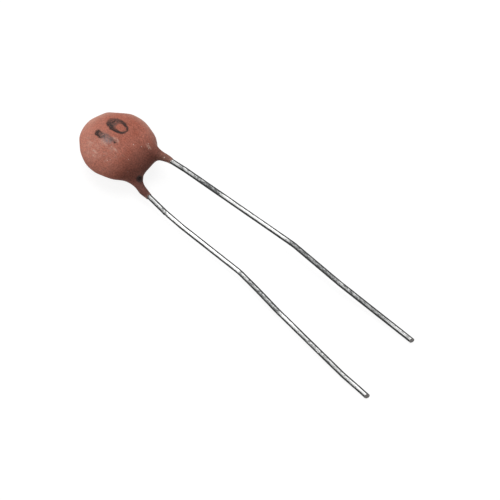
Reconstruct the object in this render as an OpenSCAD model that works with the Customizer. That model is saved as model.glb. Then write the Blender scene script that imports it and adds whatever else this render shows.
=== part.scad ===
// Ceramic disc capacitor: a silvered ceramic disc with a wire soldered to each
// face, dipped in a hard coating that has run a little way down both wires.
// The part lies on its flat side as it comes to rest: the floor is z = 0, the
// leads run along +X, and the origin is under the middle of the whole part.
// Everything is laid out about the middle of the disc, with the disc in the XY
// plane and its front face up, and then tilted on to the tips of its leads.

/* [Coating] */
// Diameter of the coated disc
coat_d = 8; // [7.6:0.1:8.6]
// Thickness of the coated disc at its middle
coat_t = 4; // [3.7:0.1:4.4]
// How far the coating has run down the front lead, past the disc's rim
front_skirt = 1.3; // [1.1:0.1:1.6]
// How far the coating has run down the back lead, past the disc's rim
back_skirt = 2.1; // [1.8:0.1:2.4]
// Radius of a skirt where it leaves the disc
skirt_root_r = 0.52; // [0.5:0.02:0.6]
// Radius of a skirt at its broken end
skirt_end_r = 0.44; // [0.38:0.02:0.48]
// Reach of the smooth web that joins the skirts to the disc
web_reach = 1.2; // [1:0.05:1.3]

/* [Ceramic] */
// Diameter of the bare ceramic disc
ceramic_d = 6.4; // [6:0.1:6.6]
// Thickness of the bare ceramic disc
ceramic_t = 0.8; // [0.7:0.05:0.9]
// Diameter of the fired silver on each face
electrode_d = 5.8; // [5.5:0.1:6]
// Thickness of the fired silver
electrode_t = 0.03; // [0.02:0.01:0.04]

/* [Leads] */
// Diameter of the tinned wire
lead_d = 0.55; // [0.5:0.05:0.6]
// How far from the disc's middle the front lead is cut off
front_reach = 36.1; // [30:0.1:42]
// How far from the disc's middle the back lead is cut off
back_reach = 37; // [35:0.1:42]
// Radius of each bend, at the wire's axis
bend_r = 5; // [4:0.5:6]
// Thickness of the solder film between a wire and the silver
solder_film = 0.03; // [0.02:0.01:0.05]
// Diameter of each solder mound
solder_d = 2.6; // [2.2:0.1:2.8]
// Height of each solder mound
solder_h = 0.8; // [0.7:0.05:0.85]

/* [Rest] */
// Tilt of the disc when the part lies on its coating and the tips of its leads
rest_tilt = 2.7; // [2:0.1:3.4]

/* [Hidden] */
$fn = 64;

// Corners of each lead in plan: its soldered end, the bend just inside the
// coating's rim, and the handling bends along its bare length
front_corners = [[-0.6, 0.63], [4.95, 2.1], [7, 2.43], [20.5, 3.91], [26.6, 3.9]];
back_corners = [[-0.6, 0.04], [5.15, -1.78], [8.6, -2.13], [10.9, -2.21], [18.6, -2.1],
                [21.2, -2.4], [24.2, -2.83], [33.6, -3.81]];
// Heading of each lead from its last bend to its cut tip
front_heading = 2;
back_heading = -2.4;
// Where along the soldered runs the mounds are centred, and the coating starts to swell
solder_x = 1.2;
swell_x = 2.2;
// A bend's wire lies this much inside its straight runs and reaches this far into them
bend_inset = 0.003;
bend_lap = 1.2;

// The coating's skin is drawn through this many rings of this many points
skirt_rings = 14;
rim_rings = 50;
ring_points = 56;
// Angle on the rim where a skirt's outer flank runs into it
rim_angle = 40;
// How far outside the rim the rings' fan turns
fan_gap = 0.6;
// Gap between the probes that find the middle of a ring, and reach of its rays
probe_gap = 0.2;
ray_reach = 5;
// Halvings of the search for the skin along one ray
skin_steps = 18;
// A skirt's straight run is carried on for this many lengths, well past its end
run_lengths = 9;

coat_r = coat_d / 2;
coat_half_t = coat_t / 2;
lead_r = lead_d / 2;
front_skirt_x = coat_r + front_skirt;
back_skirt_x = coat_r + back_skirt;
electrode_top = ceramic_t / 2 + electrode_t;
lead_height = electrode_top + solder_film + lead_r;
solder_ball_r = (pow(solder_d / 2, 2) + pow(solder_h, 2)) / (2 * solder_h);
fan_x = coat_r + fan_gap;
// Height of the disc's middle above the floor, from the tilted coating's lowest point
disc_height = norm([coat_r * sin(rest_tilt), coat_half_t * cos(rest_tilt)]);

function unit(v) = v / norm(v);
function last(list) = list[len(list) - 1];
function reversed(list) = [for (i = [len(list) - 1:-1:0]) list[i]];
function clamped(x) = min(max(x, 0), 1);
function turn(u, v) = acos(min(1, unit(u) * unit(v)));

// ---- Routes of the leads, in the disc's own frame ----

// Corners with the cut tip after them, straight on from the last bend
function cut_off(corners, heading, reach) =
    concat(corners, [last(corners) + (reach - last(corners)[0]) * [1, tan(heading)]]);

front_plan = cut_off(front_corners, front_heading, front_reach);
back_plan = cut_off(back_corners, back_heading, back_reach);

// side is 1 for the front face and -1 for the back
function level_route(plan, side) = [for (p = plan) [p[0], p[1], side * lead_height]];

// Height of a wire that touches the floor at x
function floor_height(x) = (lead_r - disc_height + x * sin(rest_tilt)) / cos(rest_tilt);

// Level on the silver, then an even slope down or up to the floor
function resting_route(plan, side) =
    let (from = side * lead_height, tip_x = last(plan)[0], bend_x = plan[1][0])
    [for (p = plan)
        [p[0], p[1],
         from + (floor_height(tip_x) - from) * clamped((p[0] - bend_x) / (tip_x - bend_x))]];

// Point of a route at a given x
function at_x(route, x, i = 0) =
    i >= len(route) - 2 || x <= route[i + 1][0]
        ? route[i] + (route[i + 1] - route[i]) * (x - route[i][0]) / (route[i + 1][0] - route[i][0])
        : at_x(route, x, i + 1);

front_route = resting_route(front_plan, 1);
back_route = resting_route(back_plan, -1);
// The coating hardened round the leads while they were level with the disc
front_dip = level_route(front_plan, 1);
back_dip = level_route(back_plan, -1);

// ---- Signed distance from the coating's skin ----

function smooth_min(a, b, reach) =
    min(a, b) - pow(max(reach - abs(a - b), 0), 2) / (4 * reach);

// A flattened ball
function disc_distance(p) =
    let (k = norm([p[0] / coat_r, p[1] / coat_r, p[2] / coat_half_t]),
         slope = norm([p[0] / pow(coat_r, 2), p[1] / pow(coat_r, 2), p[2] / pow(coat_half_t, 2)]))
    slope == 0 ? -coat_half_t : k * (k - 1) / slope;

// Distance from a straight run that starts at a and goes on for a number of its lengths
function run_distance(p, a, b, lengths) =
    let (run = b - a)
    norm(p - a - run * min(max((p - a) * run / (run * run), 0), lengths));

// Coating round a lead, tapering to the skirt's end and going on past it
function skirt_distance(p, route, end_x) =
    min(run_distance(p, at_x(route, swell_x), route[1], 1),
        run_distance(p, route[1], route[2], run_lengths))
    - skirt_root_r + (skirt_root_r - skirt_end_r) * clamped((p[0] - swell_x) / (end_x - swell_x));

function coat_distance(p) =
    smooth_min(smooth_min(disc_distance(p),
                          skirt_distance(p, front_dip, front_skirt_x), web_reach),
               skirt_distance(p, back_dip, back_skirt_x), web_reach);

// Bisects for the skin between a point inside the coating and one outside it
function skin_point(inside, outside, steps = skin_steps) =
    let (middle = (inside + outside) / 2)
    steps == 0 ? middle
    : coat_distance(middle) < 0 ? skin_point(middle, outside, steps - 1)
    : skin_point(inside, middle, steps - 1);

// ---- Rings: upright slices that march up each skirt and fan round the rim ----

function rim_point(angle) = [coat_r * cos(angle), coat_r * sin(angle)];

// Where the slice across a skirt's end meets the middle line of the notch
function notch_x(route, end) =
    let (run = route[2] - route[1])
    end[0] + end[1] * run[1] / run[0];

// A slice is the x that it starts from on the middle line, and the point it aims at
function skirt_slices(route, end_x, root) =
    let (end = at_x(route, end_x))
    [for (i = [0:skirt_rings - 1])
        let (s = sin(90 * i / skirt_rings))
        [notch_x(route, end) * (1 - s) + fan_x * s, [end[0], end[1]] * (1 - s) + root * s]];

slices = concat(
    skirt_slices(front_dip, front_skirt_x, rim_point(rim_angle)),
    [for (i = [0:rim_rings]) [fan_x, rim_point(rim_angle + (360 - 2 * rim_angle) * i / rim_rings)]],
    reversed(skirt_slices(back_dip, back_skirt_x, rim_point(-rim_angle))));

// Rays in all directions from the middle of a slice's depth, spread out as the
// depth is, so that flat slices and round ones are both drawn evenly
function ring(slice) =
    let (start = [slice[0], 0, 0],
         out = unit([slice[1][0] - slice[0], slice[1][1], 0]),
         probes = [for (u = [0:probe_gap:fan_x + coat_r], z = [-coat_half_t:probe_gap:coat_half_t])
             let (depth = -coat_distance(start + u * out + [0, 0, z]))
             if (depth > 0) [u, z, depth]],
         depths = [for (p = probes) p[2]],
         total = depths * [for (p = probes) 1],
         u_mid = depths * [for (p = probes) p[0]] / total,
         z_mid = depths * [for (p = probes) p[1]] / total,
         u_spread = sqrt(depths * [for (p = probes) pow(p[0] - u_mid, 2)] / total),
         lean = depths * [for (p = probes) (p[0] - u_mid) * (p[1] - z_mid)] / total / u_spread,
         z_spread = sqrt(depths * [for (p = probes) pow(p[1] - z_mid, 2)] / total - lean * lean),
         middle = start + u_mid * out + [0, 0, z_mid])
    [for (i = [0:ring_points - 1])
        let (angle = 360 * i / ring_points,
             ray = (u_spread * out + [0, 0, lean]) * cos(angle) + [0, 0, z_spread] * sin(angle))
        skin_point(middle, middle + ray_reach * ray)];

module skin() {
    n = ring_points;
    last_ring = (len(slices) - 1) * n;
    sides = [for (i = [0:len(slices) - 2], j = [0:n - 1])
        let (a = i * n + j, b = i * n + (j + 1) % n)
        each [[a, b, b + n], [a, b + n, a + n]]];
    first_end = reversed([for (j = [0:n - 1]) j]);
    last_end = [for (j = [0:n - 1]) last_ring + j];
    polyhedron([for (slice = slices) each ring(slice)], concat(sides, [first_end, last_end]));
}

// ---- Wire ----

// Length that the bend at corner i takes from each of its straight runs
function bend_take(route, i) =
    i <= 0 || i >= len(route) - 1 ? 0
    : bend_r * tan(turn(route[i] - route[i - 1], route[i + 1] - route[i]) / 2);

module straight_run(route, i) {
    run = route[i + 1] - route[i];
    d = unit(run);
    translate(route[i] + d * bend_take(route, i))
        rotate([0, acos(d[2]), atan2(d[1], d[0])])
            cylinder(r = lead_r, h = norm(run) - bend_take(route, i) - bend_take(route, i + 1));
}

module bend(route, i) {
    into = unit(route[i] - route[i - 1]);
    away = unit(route[i + 1] - route[i]);
    angle = turn(into, away);
    centre = route[i] + unit(away - into) * bend_r / cos(angle / 2);
    outward = unit(route[i] - into * bend_take(route, i) - centre);
    axis = cross(outward, into);
    multmatrix([for (k = [0:2]) [outward[k], into[k], axis[k], centre[k]]])
        rotate(-bend_lap)
            rotate_extrude(angle = angle + 2 * bend_lap)
                translate([bend_r, 0]) circle(r = lead_r - bend_inset);
}

module wire(route) {
    for (i = [0:len(route) - 2]) straight_run(route, i);
    for (i = [1:len(route) - 2]) bend(route, i);
}

// ---- What the coating hides ----

module ceramic() {
    cylinder(d = ceramic_d, h = ceramic_t, center = true);
}

module electrode(side) {
    translate([0, 0, side * (ceramic_t + electrode_t) / 2])
        cylinder(d = electrode_d, h = electrode_t, center = true);
}

// A mound whose round top is the cap of a ball, half way along the soldered run
module mound(route, side) {
    middle = at_x(route, solder_x);
    translate([middle[0], middle[1], side * electrode_top])
        rotate([side > 0 ? 0 : 180, 0, 0])
            intersection() {
                translate([0, 0, solder_h - solder_ball_r]) sphere(r = solder_ball_r);
                cylinder(d = 2 * solder_d, h = 2 * solder_h);
            }
}

module solder(route, side) {
    difference() {
        mound(route, side);
        wire(route);
    }
}

// Tilts the part to its rest and centres it over the origin
module at_rest() {
    tip_x = max(last(front_plan)[0], last(back_plan)[0]) * cos(rest_tilt);
    left = min(-coat_r, last(back_plan)[1] - lead_r);
    right = max(coat_r, last(front_plan)[1] + lead_r);
    translate([(coat_r - tip_x) / 2, -(left + right) / 2, disc_height])
        rotate([0, rest_tilt, 0]) children();
}

// ---- Nodes ----

module coating() {
    color("#a05f4b") at_rest() difference() {
        skin();
        ceramic();
        electrode(1);
        electrode(-1);
        mound(front_route, 1);
        mound(back_route, -1);
        wire(front_route);
        wire(back_route);
    }
}

module ceramic_disc() { color("#d8cdb4") at_rest() ceramic(); }
module front_electrode() { color("#cfcec8") at_rest() electrode(1); }
module back_electrode() { color("#cfcec8") at_rest() electrode(-1); }
module front_solder() { color("#a9abad") at_rest() solder(front_route, 1); }
module back_solder() { color("#a9abad") at_rest() solder(back_route, -1); }
module front_lead() { color("#bcbec0") at_rest() wire(front_route); }
module back_lead() { color("#bcbec0") at_rest() wire(back_route); }

coating();
ceramic_disc();
front_electrode();
back_electrode();
front_solder();
back_solder();
front_lead();
back_lead();
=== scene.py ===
import math
from functools import partial

import bmesh
import bpy
from mathutils import Euler, Matrix, Vector


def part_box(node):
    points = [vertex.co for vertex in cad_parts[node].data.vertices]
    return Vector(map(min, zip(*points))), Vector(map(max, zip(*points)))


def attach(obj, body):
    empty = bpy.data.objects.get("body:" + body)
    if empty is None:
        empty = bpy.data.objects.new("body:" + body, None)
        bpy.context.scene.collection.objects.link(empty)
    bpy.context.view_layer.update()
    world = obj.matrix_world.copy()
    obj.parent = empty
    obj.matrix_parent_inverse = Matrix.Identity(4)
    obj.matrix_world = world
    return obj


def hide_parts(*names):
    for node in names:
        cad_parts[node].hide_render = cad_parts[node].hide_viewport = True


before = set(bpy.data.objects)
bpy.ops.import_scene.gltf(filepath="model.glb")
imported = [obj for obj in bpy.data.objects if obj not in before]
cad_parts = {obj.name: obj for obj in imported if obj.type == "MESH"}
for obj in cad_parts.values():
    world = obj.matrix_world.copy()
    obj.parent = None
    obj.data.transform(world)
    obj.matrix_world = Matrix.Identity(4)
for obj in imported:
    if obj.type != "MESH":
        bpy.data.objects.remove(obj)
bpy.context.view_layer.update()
bpy.context.scene.view_settings.view_transform = "Standard"
mm = 0.001
colourA, colourB = 6, 7        # sockets of a Mix node, which are known by number only


def linearColour(hexText):
    # sRGB hex to the linear values that the shaders take
    parts = [int(hexText[i:i + 2], 16) / 255 for i in (1, 3, 5)]
    return [p / 12.92 if p <= 0.04045 else ((p + 0.055) / 1.055) ** 2.4 for p in parts] + [1.0]


def addNode(tree, kind, inputs=None, **settings):
    # one node (its kind in full, or without its ShaderNode), its settings, and its inputs by name,
    # or by number where names repeat: a value, a socket, or a node for its first enabled output
    node = tree.nodes.new(kind if "Node" in kind else "ShaderNode" + kind)
    for name, value in settings.items():
        setattr(node, name, value)
    for key, value in (inputs or {}).items():
        if isinstance(value, bpy.types.Node):
            value = next(socket for socket in value.outputs if socket.enabled)
        if isinstance(value, bpy.types.NodeSocket):
            tree.links.new(value, node.inputs[key])
        else:
            node.inputs[key].default_value = value
    return node


def fillRamp(node, stops):
    # stops of a grey ramp: a place and a grey for each
    ramp = node.color_ramp
    while len(ramp.elements) < len(stops):
        ramp.elements.new(1.0)
    for element, (place, grey) in zip(ramp.elements, stops):
        element.position = place
        element.color = (grey, grey, grey, 1.0)
    return node


def newTree(name, inputs, outputs, kind="GeometryNodeTree"):
    # a tree with named inputs, what adds nodes to it, and the sockets that give its inputs
    tree = bpy.data.node_groups.new(name, kind)
    for side, sockets in (("INPUT", inputs), ("OUTPUT", outputs)):
        for label, value in sockets.items():
            holds = {type(None): "Geometry", tuple: "Vector", float: "Float"}[type(value)]
            socket = tree.interface.new_socket(name=label, in_out=side, socket_type="NodeSocket" + holds)
            if side == "INPUT" and value is not None:
                socket.default_value = value
    return tree, partial(addNode, tree), addNode(tree, "NodeGroupInput").outputs


def newMaterial(name):
    # an empty material, and what adds nodes to it
    material = bpy.data.materials.new(name)
    material.use_nodes = True
    material.node_tree.nodes.clear()
    return material, partial(addNode, material.node_tree)


def bakePiece(name, tree, values, points=(), edges=()):
    # runs the tree on a line of points, and keeps what it makes as a plain mesh
    path = bpy.data.meshes.new(name + "Path")
    path.from_pydata(points, edges, [])
    piece = bpy.data.objects.new(name, path)
    bpy.context.scene.collection.objects.link(piece)
    modifier = piece.modifiers.new(name + "Shape", "NODES")
    modifier.node_group = tree
    for item in tree.interface.items_tree:
        if item.in_out == "INPUT" and item.name in values:
            modifier[item.identifier] = values[item.name]
    evaluated = piece.evaluated_get(bpy.context.evaluated_depsgraph_get())
    made = bpy.data.meshes.new_from_object(evaluated)
    piece.modifiers.remove(modifier)
    for index in reversed(range(len(made.materials))):
        if made.materials[index] is None:      # an empty slot that no face uses
            made.materials.pop(index=index)
    piece.data = made
    made.name = name
    print(name, "has", sum(len(p.vertices) - 2 for p in made.polygons), "triangles")
    return piece


# layout, as the solids have it: mm about the middle of the disc, which is tilted at rest
layout = {
    "tilt": math.radians(2.7),
    "discDiameter": 8.0,
    "discThickness": 4.0,
    "wireDiameter": 0.55,
    "wireLevel": 0.735,      # height of a soldered wire's axis above or below the disc's middle
    "bendRadius": 5.0,
    "moundPlace": 1.2,       # a solder mound is the cap of a ball: where it sits along its wire,
    "moundSunk": 0.226,      # and how far past the disc's middle the ball's own middle lies
}
boxLow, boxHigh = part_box("ceramic_disc")
discMiddle = (boxLow + boxHigh) / 2

# corners of each wire in plan, from its soldered end to its cut tip
frontPlan = [(-0.6, 0.63), (4.95, 2.1), (7, 2.43), (20.5, 3.91), (26.6, 3.9), (36.1, 4.232)]
backPlan = [(-0.6, 0.04), (5.15, -1.78), (8.6, -2.13), (10.9, -2.21), (18.6, -2.1),
            (21.2, -2.4), (24.2, -2.83), (33.6, -3.81), (37, -3.9525)]


def levelCorners(plan, side):
    return [Vector((x, y, side * layout["wireLevel"])) for x, y in plan]


def restingCorners(plan, side):
    # level on the silver, then an even slope that brings the tip to the floor
    level, tipX, bendX = side * layout["wireLevel"], plan[-1][0], plan[1][0]
    floor = (layout["wireDiameter"] / 2 - discMiddle.z / mm
             + tipX * math.sin(layout["tilt"])) / math.cos(layout["tilt"])
    return [Vector((x, y, level + (floor - level) * max(0, (x - bendX) / (tipX - bendX)))) for x, y in plan]


def inFrame(point):
    # from mm about the disc's middle to metres where the part lies
    return Matrix.Rotation(layout["tilt"], 3, "Y") @ (point * mm) + discMiddle


def pointAt(corners, x):
    for a, b in zip(corners, corners[1:]):
        if x <= b.x:
            break
    return a + (b - a) * (x - a.x) / (b.x - a.x)


camera = {
    "place": (0.077499, -0.125567, 0.209084),
    "azimuth": 31.231,
    "elevation": 54.711,
    "roll": 11.724,
    "lens": 183.06,
    "sensor": 36,
    "clip": (0.01, 20),
}
cameraData = bpy.data.cameras.new("camera")
cameraData.lens = camera["lens"]
cameraData.sensor_width = camera["sensor"]
cameraData.clip_start, cameraData.clip_end = camera["clip"]
cameraObject = bpy.data.objects.new("camera", cameraData)
aim = Euler((math.radians(90 - camera["elevation"]), 0, math.radians(camera["azimuth"]))).to_matrix()
aim = aim @ Matrix.Rotation(math.radians(camera["roll"]), 3, "Z")
cameraObject.matrix_world = Matrix.Translation(camera["place"]) @ aim.to_4x4()
bpy.context.scene.collection.objects.link(cameraObject)
bpy.context.scene.camera = cameraObject
print("camera is set")


studio = {
    "softboxes": {            # direction from the part, the two sides in metres, power in watts
        "key": ((-0.48, 0.20, 0.85), (0.50, 0.50), 1.90),
        "wireLight": ((-0.20, -0.60, 0.77), (0.30, 0.45), 0.45),
        "lowFill": ((-0.57, -0.81, 0.09), (0.30, 0.14), 1.15),
        "farFill": ((-0.10, 0.85, 0.50), (0.30, 0.30), 0.36),
        "leadFill": ((0.90, 0.05, 0.35), (0.30, 0.30), 0.32),
    },
    "distance": 0.5,
    "surroundings": 0.05,     # even light from everywhere, 1 = white
    "air": 0.9,               # how white the room looks
    "floorWhite": 0.88,       # part of the floor's white that no shadow dims
    "floorShade": 0.20,
}
for name, (direction, (width, length), power) in studio["softboxes"].items():
    lamp = bpy.data.lights.new(name, "AREA")
    lamp.shape = "ELLIPSE"
    lamp.size, lamp.size_y, lamp.energy = width, length, power
    softbox = bpy.data.objects.new(name, lamp)
    towards = Vector(direction).normalized()
    across = (Vector((1, 0, 0)) - towards * towards.x).normalized()
    softbox.matrix_world = Matrix.Translation(towards * studio["distance"]) @ Matrix(
        (across, towards.cross(across), towards)).transposed().to_4x4()
    bpy.context.scene.collection.objects.link(softbox)


def whereSeen(add):
    # 1 for what the eye sees, straight or in metal and glass, and 0 for what only gives light
    ray = add("LightPath").outputs
    seen = add("Math", {0: ray["Is Camera Ray"], 1: ray["Is Glossy Ray"]}, operation="MAXIMUM")
    return add("Math", {0: seen, 1: ray["Is Transmission Ray"]}, operation="MAXIMUM")


# white all round, with little light of its own
world = bpy.data.worlds.new("studioAir")
bpy.context.scene.world = world
world.use_nodes = True
world.node_tree.nodes.clear()
add = partial(addNode, world.node_tree)
strength = add("MapRange",
               {"Value": whereSeen(add), "To Min": studio["surroundings"], "To Max": studio["air"]})
air = add("Background", {"Color": linearColour("#ffffff"), "Strength": strength})
add("OutputWorld", {"Surface": air})

# white matt board: white to the eye and in the metal, and it keeps the part's soft shadow
board, add = newMaterial("whiteBoard")
glow = add("Math", {0: whereSeen(add), 1: studio["floorWhite"]}, operation="MULTIPLY")
white = add("Emission", {"Color": linearColour("#ffffff"), "Strength": glow})
shade = add("BsdfDiffuse", {"Color": [studio["floorShade"]] * 3 + [1]})
both = add("AddShader", {0: white, 1: shade})
add("OutputMaterial", {"Surface": both})

# a round board whose rim curls up, so that no bare edge shows from low down
boardMesh = bmesh.new()
rings = [(0.0, 0.0), (0.05, 0.0), (0.2, 0.0), (1.0, 0.0), (2.4, 0.0), (2.8, 0.06), (3.0, 0.2), (3.1, 0.5)]
turns = 72
lastRing = [boardMesh.verts.new((0, 0, 0))]
for radius, height in rings[1:]:
    ring = [boardMesh.verts.new((radius * math.cos(math.tau * i / turns),
                                 radius * math.sin(math.tau * i / turns), height)) for i in range(turns)]
    for i in range(turns):
        j = (i + 1) % turns
        inner = lastRing * turns if len(lastRing) == 1 else lastRing
        boardMesh.faces.new([inner[i], ring[i], ring[j]] if len(lastRing) == 1
                            else [inner[i], ring[i], ring[j], inner[j]])
    lastRing = ring
mesh = bpy.data.meshes.new("board")
boardMesh.to_mesh(mesh)
boardMesh.free()
mesh.materials.append(board)
for polygon in mesh.polygons:
    polygon.use_smooth = True
boardObject = bpy.data.objects.new("board", mesh)
bpy.context.scene.collection.objects.link(boardObject)
print("lamps and board are set")


coating = {                    # sizes in mm
    "Disc diameter": layout["discDiameter"] + 0.1,     # full at the rim, where it sagged
    "Disc thickness": layout["discThickness"],
    "Front end": 5.38,         # where each skirt ends, from the disc's middle
    "Back end": 6.18,
    "Swell start": 2.2,        # where a skirt starts to thicken
    "Skirt root radius": 0.52,
    "Skirt end radius": 0.42,
    "Onward": 9.0,             # a skirt's outer run goes on for this many lengths, then is cut
    "Feather": 0.08,           # how much a skirt thins again close to its end
    "Feather reach": 1.0,
    "Front web": 1.08,         # how far each skirt's web reaches on to the disc
    "Back web": 1.32,
    "Flat blend": 0.12,        # how softly a flat place, a skirt's end and the swelling run out
    "End blend": 0.12,
    "Lip blend": 0.25,
    "Relief": 0.03,            # how deep the slow unevenness of the dipped skin goes
    "Relief scale": 0.45,      # and how many of its waves there are in a mm
    "Ragged end": 0.07,        # unevenness of a skirt's broken end
    "Ragged scale": 3.2,
    "Pit radius": 0.22,        # burst bubble at the root of the back skirt
    "Lip radius": 0.47,        # the swelling that it left
    "Bore radius": 0.25,       # the hollow inside: bores, solder mounds, and the disc with its silver
    "Mound radius": 1.43,
    "Pocket radius": 3.18,
    "Pocket half depth": 0.41,
    "Cell": 0.075,             # size of the grid that the skin is drawn on
    "Crumb": 1000.0,           # loose bits with fewer points than this are swept away
    "Seed": 3.0,
}

# mm about the disc's middle: the burst bubble, its swelling, and the corners of the grid
bubble, lipMiddle = Vector((4.27, -1.36, -0.07)), Vector((3.94, -1.16, -0.38))
gridLow, gridHigh = Vector((-4.35, -4.35, -2.35)), Vector((6.55, 4.35, 2.35))

# places where the dip dried a little flat: direction from the disc's middle, and distance in mm
flats = [((0.25, 0.87, 0.42), 3.72), ((-0.55, 0.61, 0.57), 3.38), ((-0.85, 0.23, 0.47), 3.63),
         ((-0.66, -0.72, -0.21), 3.86), ((-0.43, -0.84, -0.34), 3.80), ((0.30, -0.79, -0.55), 3.50)]


def runDistanceTree():
    # distance from a straight run of wire, which goes on for some lengths
    tree, add, given = newTree("runDistance", {"Position": (0, 0, 0), "Start": (0, 0, 0),
                                               "Run": (1, 0, 0), "Lengths": 1.0}, {"Distance": 0.0})
    away = add("VectorMath", {0: given["Position"], 1: given["Start"]}, operation="SUBTRACT")
    along = add("VectorMath", {0: away, 1: given["Run"]}, operation="DOT_PRODUCT")
    whole = add("VectorMath", {0: given["Run"], 1: given["Run"]}, operation="DOT_PRODUCT")
    share = add("Math", {0: along, 1: whole}, operation="DIVIDE")
    share = add("Math", {0: share, 1: 0.0}, operation="MAXIMUM")
    share = add("Math", {0: share, 1: given["Lengths"]}, operation="MINIMUM")
    foot = add("VectorMath", {0: given["Run"], "Scale": share}, operation="SCALE")
    gap = add("VectorMath", {0: away, 1: foot}, operation="SUBTRACT")
    size = add("VectorMath", {0: gap}, operation="LENGTH")
    add("NodeGroupOutput", {"Distance": size})
    return tree


def webTree():
    # the nearer of two forms, with a smooth web of the given reach between them
    tree, add, given = newTree("web", {"A": 0.0, "B": 0.0, "Reach": 1.0}, {"Distance": 0.0})
    gap = add("Math", {0: given["A"], 1: given["B"]}, operation="SUBTRACT")
    gap = add("Math", {0: gap}, operation="ABSOLUTE")
    near = add("Math", {0: given["Reach"], 1: gap}, operation="SUBTRACT")
    near = add("Math", {0: near, 1: 0.0}, operation="MAXIMUM")
    fill = add("Math", {0: near, 1: near}, operation="MULTIPLY")
    four = add("Math", {0: given["Reach"], 1: 4.0}, operation="MULTIPLY")
    fill = add("Math", {0: fill, 1: four}, operation="DIVIDE")
    least = add("Math", {0: given["A"], 1: given["B"]}, operation="MINIMUM")
    joined = add("Math", {0: least, 1: fill}, operation="SUBTRACT")
    add("NodeGroupOutput", {"Distance": joined})
    return tree


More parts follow.
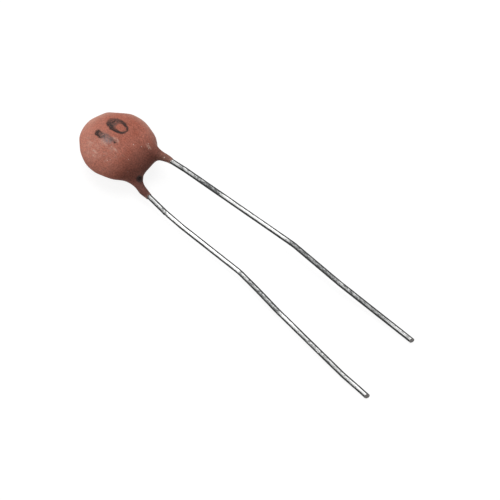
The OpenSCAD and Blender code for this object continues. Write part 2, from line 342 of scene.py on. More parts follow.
def coatingTree(material):
    tree, add, given = newTree("dippedCoating", {"Geometry": None, **coating}, {"Geometry": None})
    runDistance, web = runDistanceTree(), webTree()
    place = add("GeometryNodeInputPosition")
    radius = add("Math", {0: given["Disc diameter"], 1: 0.5}, operation="MULTIPLY")
    half = add("Math", {0: given["Disc thickness"], 1: 0.5}, operation="MULTIPLY")

    # the disc is a flattened ball: k is 1 on its skin, and the slope is kept above nought inside
    semi = add("CombineXYZ", {0: radius, 1: radius, 2: half})
    unitPlace = add("VectorMath", {0: place, 1: semi}, operation="DIVIDE")
    steep = add("VectorMath", {0: unitPlace, 1: semi}, operation="DIVIDE")
    k = add("VectorMath", {0: unitPlace}, operation="LENGTH")
    slope = add("VectorMath", {0: steep}, operation="LENGTH")
    slope = add("Math", {0: slope, 1: 0.001}, operation="MAXIMUM")
    over = add("Math", {0: k, 1: 1.0}, operation="SUBTRACT")
    over = add("Math", {0: over, 1: k}, operation="MULTIPLY")
    skin = add("Math", {0: over, 1: slope}, operation="DIVIDE")
    for direction, reach in flats:
        plane = add("VectorMath", {0: place, 1: Vector(direction).normalized()}, operation="DOT_PRODUCT")
        plane = add("Math", {0: plane, 1: reach}, operation="SUBTRACT")
        skin = add("Math", {0: skin, 1: plane, 2: given["Flat blend"]}, operation="SMOOTH_MAX")

    # unevenness, slow on the disc and quicker where the skirts broke
    slow = add("TexNoise", {"Vector": place, "W": given["Seed"], "Scale": given["Relief scale"],
                            "Detail": 2.0}, noise_dimensions="4D")
    slow = add("MapRange", {"Value": slow, "From Min": 0.25, "From Max": 0.75})
    slow = add("Math", {0: slow, 1: given["Relief"]}, operation="MULTIPLY")
    rough = add("TexNoise", {"Vector": place, "W": given["Seed"], "Scale": given["Ragged scale"],
                             "Detail": 2.0}, noise_dimensions="4D")
    rough = add("MapRange", {"Value": rough, "From Min": 0.25, "From Max": 0.75, "To Min": -1.0})
    rough = add("Math", {0: rough, 1: given["Ragged end"]}, operation="MULTIPLY")

    x, y, z = add("SeparateXYZ", {0: place}).outputs
    cavities, cuts = [], []
    for plan, side, end, reach in ((frontPlan, 1, "Front end", "Front web"),
                                   (backPlan, -1, "Back end", "Back web")):
        corners = levelCorners(plan, side)
        root, bend, onward = pointAt(corners, coating["Swell start"]), corners[1], corners[2]
        inner = add("GeometryNodeGroup", {"Position": place, "Start": root, "Run": bend - root,
                                          "Lengths": 1.0}, node_tree=runDistance)
        outer = add("GeometryNodeGroup", {"Position": place, "Start": bend, "Run": onward - bend,
                                          "Lengths": given["Onward"]}, node_tree=runDistance)
        near = add("Math", {0: inner, 1: outer}, operation="MINIMUM")
        thick = add("MapRange", {"Value": x, "From Min": given["Swell start"], "From Max": given[end],
                                 "To Min": given["Skirt root radius"], "To Max": given["Skirt end radius"]})
        left = add("Math", {0: given[end], 1: x}, operation="SUBTRACT")
        thin = add("MapRange", {"Value": left, "From Min": given["Feather reach"], "From Max": 0.0,
                                "To Max": given["Feather"]}, interpolation_type="SMOOTHSTEP")
        thick = add("Math", {0: thick, 1: thin}, operation="SUBTRACT")
        skirt = add("Math", {0: near, 1: thick}, operation="SUBTRACT")
        skin = add("GeometryNodeGroup", {"A": skin, "B": skirt, "Reach": given[reach]}, node_tree=web)
        # the skirt's broken end, square to the wire
        heading = (onward - bend).normalized()
        endPoint = pointAt(corners, coating[end])
        away = add("VectorMath", {0: place, 1: endPoint}, operation="SUBTRACT")
        cut = add("VectorMath", {0: away, 1: heading}, operation="DOT_PRODUCT")
        cuts.append(add("Math", {0: cut, 1: rough}, operation="ADD"))
        # the bore that the wire fills, and the solder mound
        for a, b in ((corners[0], corners[1]), (corners[1], corners[2])):
            bore = add("GeometryNodeGroup", {"Position": place, "Start": a, "Run": b - a, "Lengths": 1.0},
                       node_tree=runDistance)
            cavities.append(add("Math", {0: bore, 1: given["Bore radius"]}, operation="SUBTRACT"))
        mound = pointAt(corners, layout["moundPlace"])
        mound.z = side * -layout["moundSunk"]
        away = add("VectorMath", {0: place, 1: mound}, operation="DISTANCE")
        ball = add("Math", {0: away, 1: given["Mound radius"]}, operation="SUBTRACT")
        inward = add("Math", {0: z, 1: -side}, operation="MULTIPLY")
        cavities.append(add("Math", {0: ball, 1: inward}, operation="MAXIMUM"))

    # a swelling round the burst bubble
    lip = add("VectorMath", {0: place, 1: lipMiddle}, operation="DISTANCE")
    lip = add("Math", {0: lip, 1: given["Lip radius"]}, operation="SUBTRACT")
    skin = add("Math", {0: skin, 1: lip, 2: given["Lip blend"]}, operation="SMOOTH_MIN")

    # the pocket that holds the ceramic disc and its silver
    flat = add("CombineXYZ", {0: x, 1: y})
    wide = add("VectorMath", {0: flat}, operation="LENGTH")
    wide = add("Math", {0: wide, 1: given["Pocket radius"]}, operation="SUBTRACT")
    high = add("Math", {0: z}, operation="ABSOLUTE")
    high = add("Math", {0: high, 1: given["Pocket half depth"]}, operation="SUBTRACT")
    pocket = add("Math", {0: wide, 1: high}, operation="MAXIMUM")
    for cavity in cavities:
        pocket = add("Math", {0: pocket, 1: cavity}, operation="MINIMUM")

    # the burst bubble
    pit = add("VectorMath", {0: place, 1: bubble}, operation="DISTANCE")
    pit = add("Math", {0: pit, 1: given["Pit radius"]}, operation="SUBTRACT")
    pocket = add("Math", {0: pocket, 1: pit}, operation="MINIMUM")

    frontSide = add("Math", {0: y, 1: 0.0}, operation="GREATER_THAN")
    cut = add("Mix", {"Factor": frontSide, "A": cuts[1], "B": cuts[0]}, data_type="FLOAT")
    skin = add("Math", {0: skin, 1: slow}, operation="ADD")
    skin = add("Math", {0: skin, 1: cut, 2: given["End blend"]}, operation="SMOOTH_MAX")
    hollow = add("Math", {0: pocket, 1: -1.0}, operation="MULTIPLY")
    wall = add("Math", {0: skin, 1: hollow}, operation="MAXIMUM")

    # drawn on a grid: density falls through 1 at the skin
    density = add("Math", {0: 1.0, 1: wall}, operation="SUBTRACT")
    cells = [round((b - a) / coating["Cell"]) for a, b in zip(gridLow, gridHigh)]
    block = add("GeometryNodeVolumeCube",
                {"Density": density, "Min": gridLow, "Max": gridHigh, "Resolution X": cells[0],
                 "Resolution Y": cells[1], "Resolution Z": cells[2]})
    drawn = add("GeometryNodeVolumeToMesh", {"Volume": block, "Threshold": 1.0}, resolution_mode="GRID")
    # crumbs that broke off the skirts' ends are swept away
    island = add("GeometryNodeInputMeshIsland")
    size = add("GeometryNodeAccumulateField", {"Value": 1.0, "Group ID": island}).outputs["Total"]
    crumb = add("Math", {0: size, 1: given["Crumb"]}, operation="LESS_THAN")
    drawn = add("GeometryNodeDeleteGeometry", {"Geometry": drawn, "Selection": crumb})
    placed = add("GeometryNodeTransform", {"Geometry": drawn, "Translation": discMiddle,
                                           "Rotation": (0, layout["tilt"], 0), "Scale": (mm, mm, mm)})
    smooth = add("GeometryNodeSetShadeSmooth", {"Geometry": placed})
    real = add("GeometryNodeRealizeInstances", {"Geometry": smooth})
    coloured = add("GeometryNodeSetMaterial", {"Geometry": real, "Material": material})
    add("NodeGroupOutput", {"Geometry": coloured})
    return tree


def discPlace(add):
    # Object coordinates turned into mm about the middle of the tilted disc
    return add("Mapping", {"Vector": add("TexCoord").outputs["Object"], "Location": discMiddle,
                           "Rotation": (0, layout["tilt"], 0), "Scale": (mm, mm, mm)}, vector_type="TEXTURE")


# Phenolic dip, baked: a dull terracotta shell, a little mottled, dusty and scuffed, with painted shade
# towards the leads
phenolic = {
    "body": "#ac6654",
    "bodyMottle": "#a65d4a",
    "paintedLeadShade": "#764438",     # painted shade: darker towards the leads, where the flank turns from the light
    "skirts": "#5f3830",       # painted shade: darkest on the skirts, low between and under the leads
    "paleFrontSkirt": "#8a5f53",   # the front skirt, paler and greyer, with less of the painted shade
    "scuff": "#cda595",
    "speck": "#ead9cf",
    "ink": "#1e0d08",
    "wornInk": "#443734",
    "inkFilm": "#728085",      # ink rubbed to a thin grey film
    # painted shade in and around the burst bubble's hollow
    "pit": "#34211e",
    "haze": "#b4a8a4",         # dust that shows where the skin turns away
    "hazeAmount": 0.35,
    "hazeSpread": 0.3,
    "paleRim": 0.38,
    "fading": 0.13,            # paler on the side away from both leads
    "scrapes": 0.40,           # broad scraping on the near half of the front face
    "scrapeDust": 0.05,
    "grainShade": 0.35,        # how much the grain lightens and darkens
    "specks": 0.65,            # how white the marked specks are, and the strewn ones
    "strewnSpecks": 0.35,
    "strewnBare": 0.6,         # part of their cells that stay bare
    "strewnScale": 1.6,        # cells in a mm
    "wander": 0.32,            # mm that the stamp's outlines wander
    "dentDepth": 0.06,         # mm
    "grainDepth": 0.015,
    "roughness": 0.72,
    "roughnessSpread": 0.06,
    "ior": 1.5,
    "gloss": 0.3,              # specular level: a dusty skin throws back little
}
# where each change over the part starts and is full: its axis, mm from the disc's middle, and its curve
# the first two carry painted shade: towards the leads, and on the skirts
changes = {"paintedLeadShade": ("X", 1.0, 3.9, "SMOOTHSTEP"), "skirts": ("X", 3.5, 5.0, "SMOOTHSTEP"),
           "paleFrontSkirt": ("Y", -0.4, 1.6, "LINEAR"), "front": ("Z", -0.4, 0.2, "LINEAR")}
# noise patterns: how many waves in a mm, how many finer layers, and how strong those are
patterns = {"mottle": (0.9, 4.0, 0.5), "grain": (7.0, 3.0, 0.5), "scrape": (1.9, 5.0, 0.65),
            "rubbing": (6.0, 3.0, 0.6), "chips": (3.5, 3.0, 0.5), "wander": (2.6, 2.0, 0.5),
            "blots": (5.0, 5.0, 0.8), "dents": (2.2, 2.0, 0.5)}
# the capacitance in picofarads, stamped by hand: middle and half sizes of its strokes, mm on the disc
stamp = {
    "zero": ((-0.98, 0.66), (1.20, 0.90)),
    "zeroHole": ((-0.53, 0.68), (0.60, 0.42)),
    "zeroNib": ((-1.62, 0.80), (0.13, 0.28)),
    "zeroLight": ((-1.75, 1.05), (0.75, 0.60)),     # where the stamp pressed lightly
    "oneTop": ((-1.42, -1.30), (0.70, 0.38)),
    "oneStem": ((-0.40, -1.02), (0.95, 0.28)),
    "oneFoot": ((0.25, -1.10), (0.10, 0.09)),
    "oneSmear": ((-0.65, -1.30), (0.85, 0.50)),     # where a thumb dragged the wet ink
}
inkLines = {"zero": (0.22, 0.24), "oneTop": (0.10, 0.14)}     # inset from the outline, half width, mm
rubbedInk = {"zero": 0.90, "oneTop": 0.85, "oneStem": 0.60}   # how much ink is left inside the outline
# the scraped part of the front face, and rubbed places on it: middle and half sizes, mm
scraped = (-0.3, -2.3), (2.3, 1.6)
scuffs = [((-0.55, -1.85), (0.42, 0.16)), ((-0.65, -3.02), (0.28, 0.09)), ((-0.42, -3.32), (0.16, 0.09)),
          ((-1.60, -2.50), (0.22, 0.09)), ((0.80, -1.62), (0.30, 0.09)), ((0.10, -0.78), (0.38, 0.16)),
          ((2.80, 1.30), (0.24, 0.11))]
# white specks of filler on the face: place and radius, mm
specks = [((1.69, 0.18), 0.075), ((2.36, 0.69), 0.06), ((2.58, 1.52), 0.07), ((2.95, 1.13), 0.05),
          ((2.44, -1.33), 0.05), ((0.32, -1.65), 0.05), ((1.01, -2.90), 0.05), ((4.63, 1.75), 0.08)]


def ovalTree():
    # distance in mm from an oval in plan: below nought inside it
    tree, add, given = newTree("oval", {"Place": (0, 0, 0), "Centre": (0, 0, 0), "Half": (1, 1, 1)},
                               {"Distance": 0.0}, "ShaderNodeTree")
    away = add("VectorMath", {0: given["Place"], 1: given["Centre"]}, operation="SUBTRACT")
    away = add("VectorMath", {0: away, 1: (1, 1, 0)}, operation="MULTIPLY")
    away = add("VectorMath", {0: away, 1: given["Half"]}, operation="DIVIDE")
    far = add("VectorMath", {0: away}, operation="LENGTH")
    far = add("Math", {0: far, 1: 1.0}, operation="SUBTRACT")
    half = add("SeparateXYZ", {0: given["Half"]}).outputs
    size = add("Math", {0: half[0], 1: half[1]}, operation="MINIMUM")
    far = add("Math", {0: far, 1: size}, operation="MULTIPLY")
    add("NodeGroupOutput", {"Distance": far})
    return tree


def phenolicDip():
    material, add = newMaterial("bakedPhenolicDip")
    place = discPlace(add)
    axes = add("SeparateXYZ", {0: place}).outputs
    x, y = axes["X"], axes["Y"]
    # the noise patterns, and how far each change has gone at each place
    noise = {}
    for label, (scale, detail, strength) in patterns.items():
        noise[label] = add("TexNoise",
                           {"Vector": place, "Scale": scale, "Detail": detail, "Roughness": strength})
    change = {}
    for label, (along, start, full, curve) in changes.items():
        change[label] = add("MapRange", {"Value": axes[along], "From Min": start, "From Max": full},
                            interpolation_type=curve)

    # slow mottling, 1 mm across, and fine grain, 0.1 mm
    mottle = add("MapRange", {"Value": noise["mottle"], "From Min": 0.35, "From Max": 0.65})
    colour = add("Mix", {"Factor": mottle, colourA: linearColour(phenolic["body"]),
                         colourB: linearColour(phenolic["bodyMottle"])}, data_type="RGBA")
    # painted shade: darker towards the leads
    colour = add("Mix", {"Factor": change["paintedLeadShade"], colourA: colour,
                         colourB: linearColour(phenolic["paintedLeadShade"])}, data_type="RGBA")
    # painted shade on the skirts, a little less on the front one
    skirtShadeColour = add("Mix", {"Factor": change["paleFrontSkirt"], colourA: linearColour(phenolic["skirts"]),
                              colourB: linearColour(phenolic["paleFrontSkirt"])}, data_type="RGBA")
    colour = add("Mix", {"Factor": change["skirts"], colourA: colour, colourB: skirtShadeColour}, data_type="RGBA")
    shadeOf = add("MapRange", {"Value": noise["grain"], "From Min": 0.3, "From Max": 0.7,
                               "To Min": 1 - phenolic["grainShade"], "To Max": 1 + phenolic["grainShade"]})
    colour = add("VectorMath", {0: colour, "Scale": shadeOf}, operation="SCALE")
    layers = []                # what lies over the body, from the lowest up: how much, and its colour

    # pale scuffs on the near half of the front face
    ovalShape = ovalTree()
    scrape = add("MapRange", {"Value": noise["scrape"], "From Min": 0.50, "From Max": 0.72})
    reach = add("Group", {"Place": place, "Centre": (*scraped[0], 0), "Half": (*scraped[1], 1)},
                node_tree=ovalShape)
    reach = add("MapRange", {"Value": reach, "From Min": 0.5, "From Max": -0.7})
    scrape = add("Math", {0: scrape, 1: reach}, operation="MULTIPLY")
    dust = add("Math", {0: reach, 1: phenolic["scrapeDust"]}, operation="MULTIPLY")
    scrape = add("Math", {0: scrape, 1: phenolic["scrapes"], 2: dust}, operation="MULTIPLY_ADD")
    rubbed = add("MapRange", {"Value": noise["rubbing"], "From Min": 0.38, "From Max": 0.58, "To Max": 0.75})
    for centre, half in scuffs:
        mark = add("Group", {"Place": place, "Centre": (*centre, 0), "Half": (*half, 1)}, node_tree=ovalShape)
        mark = add("MapRange", {"Value": mark, "From Min": 0.10, "From Max": -0.06})
        mark = add("Math", {0: mark, 1: rubbed}, operation="MULTIPLY")
        scrape = add("Math", {0: scrape, 1: mark}, operation="MAXIMUM")
    scrape = add("Math", {0: scrape, 1: change["front"]}, operation="MULTIPLY")
    layers.append((scrape, "scuff"))

    # chips of bare resin where the skirts broke off
    onFront = add("Math", {0: y, 1: 0.0}, operation="GREATER_THAN")
    endAt = add("MapRange", {"Value": onFront, "To Min": coating["Back end"], "To Max": coating["Front end"]})
    left = add("Math", {0: endAt, 1: x}, operation="SUBTRACT")
    left = add("MapRange", {"Value": left, "From Min": 0.38, "From Max": 0.05})
    chips = add("MapRange",
                {"Value": noise["chips"], "From Min": 0.45, "From Max": 0.58, "To Min": 0.25, "To Max": 0.7})
    chips = add("Math", {0: chips, 1: left}, operation="MULTIPLY")
    layers.append((chips, "scuff"))

    # paler towards the rim, most on the side away from the leads
    plan = add("VectorMath", {0: place, 1: (1, 1, 0)}, operation="MULTIPLY")
    plan = add("VectorMath", {0: plan}, operation="LENGTH")
    rim = add("MapRange", {"Value": plan, "From Min": 2.5, "From Max": 3.7, "To Max": phenolic["paleRim"]},
              interpolation_type="SMOOTHSTEP")
    lean = add("Math", {0: x, 1: -0.7, 2: y}, operation="MULTIPLY_ADD")
    lean = add("MapRange", {"Value": lean, "From Max": 3.0})
    rim = add("Math", {0: rim, 1: lean}, operation="MULTIPLY")
    corner = add("Math", {0: x, 1: y}, operation="ADD")
    faded = add("MapRange", {"Value": corner, "From Max": -4.0, "To Max": phenolic["fading"]})
    rim = add("Math", {0: rim, 1: faded}, operation="ADD")
    layers.append((rim, "scuff"))

    # the stamp: strokes of uneven width and density
    wobble = add("VectorMath", {0: noise["wander"].outputs["Color"], 1: (0.5, 0.5, 0.5)},
                 operation="SUBTRACT")
    wobble = add("VectorMath", {0: wobble, 1: [phenolic["wander"]] * 3, 2: place}, operation="MULTIPLY_ADD")
    dense = add("MapRange", {"Value": noise["blots"], "From Min": 0.38, "From Max": 0.50, "To Min": 0.60})
    patchy = add("MapRange", {"Value": noise["blots"], "From Min": 0.42, "From Max": 0.54, "To Min": 0.30})
    off = {}
    for label, (centre, half) in stamp.items():
        off[label] = add("Group", {"Place": wobble, "Centre": (*centre, 0), "Half": (*half, 1)},
                         node_tree=ovalShape)
    pressed = {"zero": add("MapRange",
                           {"Value": off["zeroLight"], "From Min": -0.25, "From Max": 0.30, "To Min": 0.45}),
               "oneTop": add("MapRange", {"Value": corner, "From Min": -2.45, "From Max": -3.0})}
    strokes = []
    for label, (inset, width) in inkLines.items():
        line = add("Math", {0: off[label], 1: inset}, operation="ADD")
        line = add("Math", {0: line}, operation="ABSOLUTE")
        line = add("MapRange", {"Value": line, "From Min": width + 0.06, "From Max": width - 0.08})
        strokes.append(add("Math", {0: line, 1: pressed[label]}, operation="MULTIPLY"))
    for label in ("zeroNib", "oneFoot"):
        strokes.append(add("MapRange", {"Value": off[label], "From Min": 0.05, "From Max": -0.04}))
    ink = strokes[0]
    for stroke in strokes[1:]:
        ink = add("Math", {0: ink, 1: stroke}, operation="MAXIMUM")
    openMiddle = add("MapRange", {"Value": off["zeroHole"], "From Min": -0.06, "From Max": 0.06})
    ink = add("Math", {0: ink, 1: openMiddle}, operation="MULTIPLY")
    ink = add("Math", {0: ink, 1: dense}, operation="MULTIPLY")
    worn = None
    for label, strength in rubbedInk.items():
        fill = add("MapRange", {"Value": off[label], "From Min": 0.06, "From Max": -0.12, "To Max": strength})
        if label == "zero":
            fill = add("Math", {0: fill, 1: openMiddle}, operation="MULTIPLY")
        worn = fill if worn is None else add("Math", {0: worn, 1: fill}, operation="MAXIMUM")
    worn = add("Math", {0: worn, 1: patchy}, operation="MULTIPLY")
    smear = add("MapRange", {"Value": off["oneSmear"], "From Min": 0.08, "From Max": -0.26, "To Max": 0.62})
    smear = add("Math", {0: smear, 1: patchy}, operation="MULTIPLY")
    for amount, name in ((smear, "inkFilm"), (worn, "wornInk"), (ink, "ink")):
        amount = add("Math", {0: amount, 1: change["front"]}, operation="MULTIPLY")
        layers.append((amount, name))

    # white specks of filler, and painted shade round the burst bubble
    for centre, radius in specks:
        gap = add("Group", {"Place": place, "Centre": (*centre, 0), "Half": (radius, radius, 1)},
                  node_tree=ovalShape)
        spot = add("MapRange", {"Value": gap, "From Max": -0.7 * radius, "To Max": phenolic["specks"]})
        spot = add("Math", {0: spot, 1: change["front"]}, operation="MULTIPLY")
        layers.append((spot, "speck"))
    cells = add("TexVoronoi", {"Vector": place, "Scale": phenolic["strewnScale"]})
    chance = add("SeparateXYZ", {0: cells.outputs["Color"]})
    chance = add("Math", {0: chance, 1: phenolic["strewnBare"]}, operation="GREATER_THAN")
    spot = add("MapRange", {"Value": cells.outputs["Distance"], "From Min": 0.09, "From Max": 0.05})
    spot = add("Math", {0: spot, 1: chance}, operation="MULTIPLY")
    spot = add("Math", {0: spot, 1: phenolic["strewnSpecks"]}, operation="MULTIPLY")
    layers.append((spot, "speck"))
    # painted shade: the coat darkens round the bubble's hollow, wider than the hollow itself
    gap = add("VectorMath", {0: place, 1: bubble}, operation="DISTANCE")
    spot = add("MapRange", {"Value": gap, "From Min": 0.48, "From Max": 0.31})
    layers.append((spot, "pit"))
    for amount, name in layers:
        colour = add("Mix", {"Factor": amount, colourA: colour, colourB: linearColour(phenolic[name])},
                     data_type="RGBA")

    bump = add("Bump", {"Distance": phenolic["dentDepth"] * mm, "Height": noise["dents"]})
    bump = add("Bump", {"Distance": phenolic["grainDepth"] * mm, "Height": noise["grain"], "Normal": bump})
    rough = add("MapRange", {"Value": mottle, "To Min": phenolic["roughness"] - phenolic["roughnessSpread"],
                             "To Max": phenolic["roughness"] + phenolic["roughnessSpread"]})
    shader = add("BsdfPrincipled",
                 {"Base Color": colour, "Roughness": rough, "IOR": phenolic["ior"],
                  "Specular IOR Level": phenolic["gloss"], "Normal": bump,
                  "Sheen Weight": phenolic["hazeAmount"], "Sheen Roughness": phenolic["hazeSpread"],
                  "Sheen Tint": linearColour(phenolic["haze"])})
    add("OutputMaterial", {"Surface": shader})
    return material


coatingSkin = bakePiece("coatingSkin", coatingTree(phenolicDip()), coating)
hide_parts("coating")
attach(coatingSkin, "root")


lead = {                       # sizes in metres
    "Wire diameter": layout["wireDiameter"] * mm,
    "Bend radius": layout["bendRadius"] * mm,
    "Ring step": 0.07 * mm,
    "Relief": 0.006 * mm,      # slow unevenness of the tinning
    "Relief scale": 1.4 / mm,  # and how many of its waves there are in a metre
    "Cut lean": 0.35,          # how far the sheared face leans back, for each mm of its height
    "Cut skew": 0.45,          # and for each mm across
    "Nick": 0.05 * mm,         # depth of the nick that a tool left in the back wire
    "Seed": 1.0,
}
sides, bendSteps = 28, 10
cutReach, cutFull = 1.0 * mm, 0.05 * mm        # the lean starts this far before the tip, and is full here
# the nick's groove and the burr before it: mm from the disc's middle, half width, and amount
nick = [(8.75, 0.13, -1.0), (8.48, 0.16, 0.8)]
nickSide = (0.0, -0.9, 0.43)   # the side of the wire that it is on


def leadTree(name, wireMaterial, cutMaterial, tip):
    tree, add, given = newTree(name + "Shape", {"Geometry": None, **lead}, {"Geometry": None})
    route = add("GeometryNodeMeshToCurve", {0: given["Geometry"]})
    route = add("GeometryNodeFilletCurve",
                {"Curve": route, "Count": bendSteps, "Radius": given["Bend radius"]}, mode="POLY")
    route = add("GeometryNodeResampleCurve", {"Curve": route, "Length": given["Ring step"]}, mode="LENGTH")
    radius = add("Math", {0: given["Wire diameter"], 1: 0.5}, operation="MULTIPLY")
    ring = add("GeometryNodeCurvePrimitiveCircle", {"Resolution": sides, "Radius": radius}, mode="RADIUS")
    tube = add("GeometryNodeCurveToMesh", {"Curve": route, "Profile Curve": ring, "Fill Caps": True})
    place = add("GeometryNodeInputPosition")
    wave = add("TexNoise", {"Vector": place, "W": given["Seed"], "Scale": given["Relief scale"],
                            "Detail": 2.0}, noise_dimensions="4D")
    wave = add("MapRange", {"Value": wave, "From Min": 0.25, "From Max": 0.75, "To Min": -1.0})
    wave = add("Math", {0: wave, 1: given["Relief"]}, operation="MULTIPLY")
    out = add("GeometryNodeInputNormal")
    shift = add("VectorMath", {0: out, "Scale": wave}, operation="SCALE")
    # the nick: a groove across the wire with a burr before it
    if name == "backWire":
        x = add("SeparateXYZ", {0: place})
        for middle, width, amount in nick:
            off = add("Math", {0: x, 1: discMiddle.x + middle * mm}, operation="SUBTRACT")
            off = add("Math", {0: off}, operation="ABSOLUTE")
            off = add("MapRange", {"Value": off, "From Min": width * mm, "From Max": 0.0, "To Max": amount},
                      interpolation_type="SMOOTHSTEP")
            turned = add("VectorMath", {0: out, 1: nickSide}, operation="DOT_PRODUCT")
            turned = add("Math", {0: turned, 1: 0.0}, operation="MAXIMUM")
            off = add("Math", {0: off, 1: turned}, operation="MULTIPLY")
            off = add("Math", {0: off, 1: given["Nick"]}, operation="MULTIPLY")
            dent = add("VectorMath", {0: out, "Scale": off}, operation="SCALE")
            shift = add("VectorMath", {0: shift, 1: dent}, operation="ADD")
    # the cut tip leans back, so that its face looks partly up
    away = add("VectorMath", {0: place, 1: tip}, operation="SUBTRACT")
    awayX, awayY, awayZ = add("SeparateXYZ", {0: away}).outputs
    close = add("MapRange", {"Value": awayX, "From Min": -cutReach, "From Max": -cutFull},
                interpolation_type="SMOOTHSTEP")
    rise = add("Math", {0: awayZ, 1: radius}, operation="ADD")
    rise = add("Math", {0: rise, 1: given["Cut lean"]}, operation="MULTIPLY")
    skew = add("Math", {0: radius, 1: awayY}, operation="SUBTRACT")
    skew = add("Math", {0: skew, 1: given["Cut skew"]}, operation="MULTIPLY")
    rise = add("Math", {0: rise, 1: skew}, operation="ADD")
    rise = add("Math", {0: rise, 1: close}, operation="MULTIPLY")
    rise = add("Math", {0: rise, 1: -1.0}, operation="MULTIPLY")
    back = add("CombineXYZ", {0: rise})
    shift = add("VectorMath", {0: shift, 1: back}, operation="ADD")
    tube = add("GeometryNodeSetPosition", {"Geometry": tube, "Offset": shift})
    tube = add("GeometryNodeSetShadeSmooth", {"Geometry": tube})
    tube = add("GeometryNodeRealizeInstances", {"Geometry": tube})
    tube = add("GeometryNodeSetMaterial", {"Geometry": tube, "Material": wireMaterial})
    # the two end caps are the only faces with more than four corners
    corners = add("GeometryNodeInputMeshFaceNeighbors").outputs["Vertex Count"]
    capped = add("Math", {0: corners, 1: 4.5}, operation="GREATER_THAN")
    tube = add("GeometryNodeSetMaterial", {"Geometry": tube, "Selection": capped, "Material": cutMaterial})
    add("NodeGroupOutput", {"Geometry": tube})
    return tree


# Tinned copper wire: bright drawn metal, with a painted dark reflection in two bands along its flanks,
# and grey oxide in mottled patches where it was gripped
tin = {
    "bright": "#bebebd",
    "hazed": "#686969",
    "oxide": "#4a4b4b",
    "roughBright": 0.20,
    "roughOxide": 0.50,
    # painted reflection: the dark surroundings that the flanks would mirror, painted along them
    "flank": "#373838",
    "edgeTint": 0.6,           # how much the metal still throws back at a glance
    "blotScale": 7.0,          # blotches and drawing lines: how many in a mm across the wire, their
    "blotHeight": 0.01,        # height in mm, and the share of that number along the wire
    "blotAlong": 0.45,
    "lineScale": 14.0,
    "lineHeight": 0.006,
    "lineAlong": 0.06,
    "brightEdge": 0.80,        # how high a blotch has to rise to be a patch, on bright and dull wire
    "dullEdge": 0.38,
    "hazing": 1.1,             # how fast the metal loses its white as it gets duller
    "stray": 0.3,              # how far the edges of the bands wander
}
# two bands of painted dark reflection along each wire: direction of a band's middle round the wire, and the
# cosines at which it starts and is full
paintedReflectionBands = {"near": ((0, -0.99, 0.12), 0.75, 0.89), "far": ((0, 0.41, 0.912), 0.85, 0.95)}
span = 40                      # mm of wire that the record of its dullness covers
# how dull each wire is along its length: mm from the disc's middle, and 0 bright to 1 dull
dullness = {
    "frontWire": [(5, 0.50), (8.4, 0.57), (9.4, 0.8), (11.2, 0.8), (11.9, 0.2), (19.2, 0.05),
                  (20.2, 0.75), (25.5, 0.75), (27, 0.6), (30, 0.65), (32.6, 0.6), (33.6, 0.3), (36, 0.2)],
    "backWire": [(5.5, 0.60), (8.5, 0.52), (8.9, 0.15), (11, 0.0), (18.4, 0.05), (18.7, 0.9), (19, 0.45),
                 (21, 0.7), (24.3, 0.7), (25, 0.2), (26.2, 0.25), (27.2, 0.5), (31.5, 0.6), (34.6, 0.45),
                 (35.4, 0.3)],
}


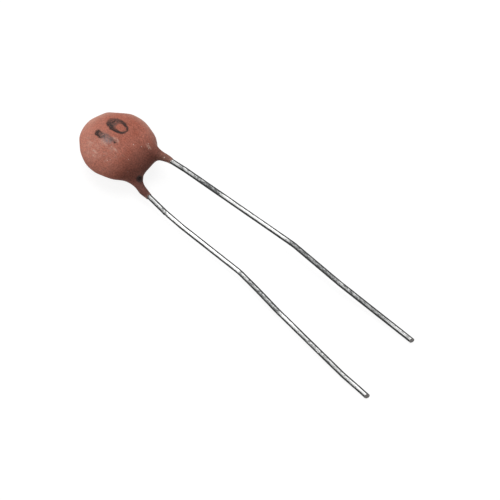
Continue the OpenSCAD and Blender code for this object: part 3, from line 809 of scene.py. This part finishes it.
def tinnedWire(name):
    material, add = newMaterial("tinned" + name[0].upper() + name[1:])
    source = add("TexCoord").outputs
    place = add("Mapping", {"Vector": source["Object"], "Location": (discMiddle.x, 0, 0),
                            "Scale": (mm, mm, mm)}, vector_type="TEXTURE")
    along = add("SeparateXYZ", {0: place})
    share = add("Math", {0: along, 1: span}, operation="DIVIDE")
    dull = fillRamp(add("ValToRGB", {0: share}), [(x / span, grey) for x, grey in dullness[name]])
    # blotches a quarter of a millimetre across, longer than wide, and fine drawing lines
    stretched = add("VectorMath", {0: place, 1: (tin["blotAlong"], 1, 1)}, operation="MULTIPLY")
    blots = add("TexNoise", {"Vector": stretched, "Scale": tin["blotScale"], "Detail": 3.0, "Roughness": 0.6})
    drawn = add("VectorMath", {0: place, 1: (tin["lineAlong"], 1, 1)}, operation="MULTIPLY")
    lines = add("TexNoise", {"Vector": drawn, "Scale": tin["lineScale"], "Detail": 2.0})
    # patches of oxide: the blotches spread as the wire gets duller
    edge = add("MapRange", {"Value": dull, "To Min": tin["brightEdge"], "To Max": tin["dullEdge"]})
    lift = add("Math", {0: blots, 1: edge}, operation="SUBTRACT")
    patch = add("MapRange", {"Value": lift, "From Min": -0.08, "From Max": 0.10})
    haze = add("Math", {0: dull, 1: tin["hazing"]}, operation="MULTIPLY", use_clamp=True)
    # the two bands of painted dark reflection, with wandering edges
    stray = add("Math", {0: lines, 1: 0.5}, operation="SUBTRACT")
    reflectionBandShade = []
    for middle, start, full in paintedReflectionBands.values():
        turned = add("VectorMath", {0: source["Normal"], 1: middle}, operation="DOT_PRODUCT")
        turned = add("Math", {0: stray, 1: tin["stray"], 2: turned}, operation="MULTIPLY_ADD")
        reflectionBandShade.append(add("MapRange", {"Value": turned, "From Min": start, "From Max": full}))
    # where either band of painted dark reflection lies
    side = add("Math", {0: reflectionBandShade[0], 1: reflectionBandShade[1]}, operation="MAXIMUM")
    # the oxide patches and the painted reflection bands, which both take the oxide's roughness
    oxide = add("Math", {0: side, 1: patch}, operation="MAXIMUM")
    colour = add("Mix", {"Factor": haze, colourA: linearColour(tin["bright"]),
                         colourB: linearColour(tin["hazed"])}, data_type="RGBA")
    colour = add("Mix", {"Factor": patch, colourA: colour, colourB: linearColour(tin["oxide"])},
                 data_type="RGBA")
    colour = add("Mix", {"Factor": side, colourA: colour, colourB: linearColour(tin["flank"])},
                 data_type="RGBA")
    rough = add("MapRange", {"Value": oxide, "To Min": tin["roughBright"], "To Max": tin["roughOxide"]})
    bump = add("Bump", {"Distance": tin["lineHeight"] * mm, "Height": lines})
    bump = add("Bump", {"Distance": tin["blotHeight"] * mm, "Height": blots, "Normal": bump})
    shader = add("BsdfPrincipled",
                 {"Base Color": colour, "Metallic": 1.0, "Specular Tint": [tin["edgeTint"]] * 3 + [1],
                  "Roughness": rough, "Normal": bump})
    add("OutputMaterial", {"Surface": shader})
    return material


# Sheared wire end: torn grey metal, dull and grooved by the cutters
sheared = {
    "groove": "#5a5858",
    "ridge": "#807d7b",
    "grooveScale": 4.0,        # how many in a mm, and their depth in mm
    "grooveDepth": 0.02,
    "roughness": 0.5,
}


def shearedEnd():
    material, add = newMaterial("shearedWireEnd")
    place = add("Mapping", {"Vector": add("TexCoord").outputs["Object"], "Scale": (mm, mm, mm)},
                vector_type="TEXTURE")
    grooves = add("TexWave", {"Vector": place, "Scale": sheared["grooveScale"], "Distortion": 3.0,
                              "Detail": 2.0}, bands_direction="Y").outputs["Fac"]
    colour = add("Mix", {"Factor": grooves, colourA: linearColour(sheared["groove"]),
                         colourB: linearColour(sheared["ridge"])}, data_type="RGBA")
    bump = add("Bump", {"Distance": sheared["grooveDepth"] * mm, "Height": grooves})
    shader = add("BsdfPrincipled",
                 {"Base Color": colour, "Metallic": 1.0, "Roughness": sheared["roughness"], "Normal": bump})
    add("OutputMaterial", {"Surface": shader})
    return material


cutFace = shearedEnd()
for name, node, plan, side in (("frontWire", "front_lead", frontPlan, 1),
                               ("backWire", "back_lead", backPlan, -1)):
    points = [inFrame(p) for p in restingCorners(plan, side)]
    wire = bakePiece(name, leadTree(name, tinnedWire(name), cutFace, points[-1]), lead, points,
                     [(i, i + 1) for i in range(len(points) - 1)])
    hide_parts(node)
    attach(wire, "root")


# Hidden under the dip, and seen only where the part is cut open or shown in layers
buried = {
    "cloudScale": 1.2,         # clouds in a mm
    "grainShare": 0.35,        # how much the grain shows in the mottle
    "roughnessSpread": 0.08,
}


def hiddenFinish(name, colours, grainMm, bumpMm, roughness, metallic):
    # a mottled, granular surface: colours of the mottle, grain size and height in mm
    material, add = newMaterial(name)
    place = discPlace(add)
    grain = add("TexVoronoi", {"Vector": place, "Scale": 1 / grainMm}).outputs["Distance"]
    clouds = add("TexNoise", {"Vector": place, "Scale": buried["cloudScale"], "Detail": 4.0})
    mix = add("Math", {0: grain, 1: buried["grainShare"], 2: clouds}, operation="MULTIPLY_ADD")
    mix = add("MapRange", {"Value": mix, "From Min": 0.45, "From Max": 0.85})
    colour = add("Mix", {"Factor": mix, colourA: linearColour(colours[0]), colourB: linearColour(colours[1])},
                 data_type="RGBA")
    rough = add("MapRange", {"Value": mix, "To Min": roughness - buried["roughnessSpread"],
                             "To Max": roughness + buried["roughnessSpread"]})
    bump = add("Bump", {"Distance": bumpMm * mm, "Height": grain})
    shader = add("BsdfPrincipled",
                 {"Base Color": colour, "Roughness": rough, "Metallic": metallic, "Normal": bump})
    add("OutputMaterial", {"Surface": shader})
    return material


hidden = {
    # Barium titanate, pressed and sintered: a cream tile, fine-grained and matt
    "ceramic_disc": hiddenFinish("sinteredTitanate", ("#d8c9a8", "#c2b08c"),
                                 grainMm=0.05, bumpMm=0.004, roughness=0.60, metallic=0.0),
    # Silver paste, screened and fired: a soft white metal film
    "front_electrode": hiddenFinish("firedSilver", ("#dedcd6", "#bdbab2"),
                                    grainMm=0.03, bumpMm=0.003, roughness=0.42, metallic=1.0),
    # Tin-lead solder, cooled in air: a grey, faintly frosted metal
    "front_solder": hiddenFinish("dippedSolder", ("#b9bbbd", "#8d9093"),
                                 grainMm=0.10, bumpMm=0.008, roughness=0.32, metallic=1.0),
}
hidden["back_electrode"] = hidden["front_electrode"]
hidden["back_solder"] = hidden["front_solder"]
for node, finish in hidden.items():
    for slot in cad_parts[node].material_slots:
        slot.material = finish
print("hidden parts have their finishes")
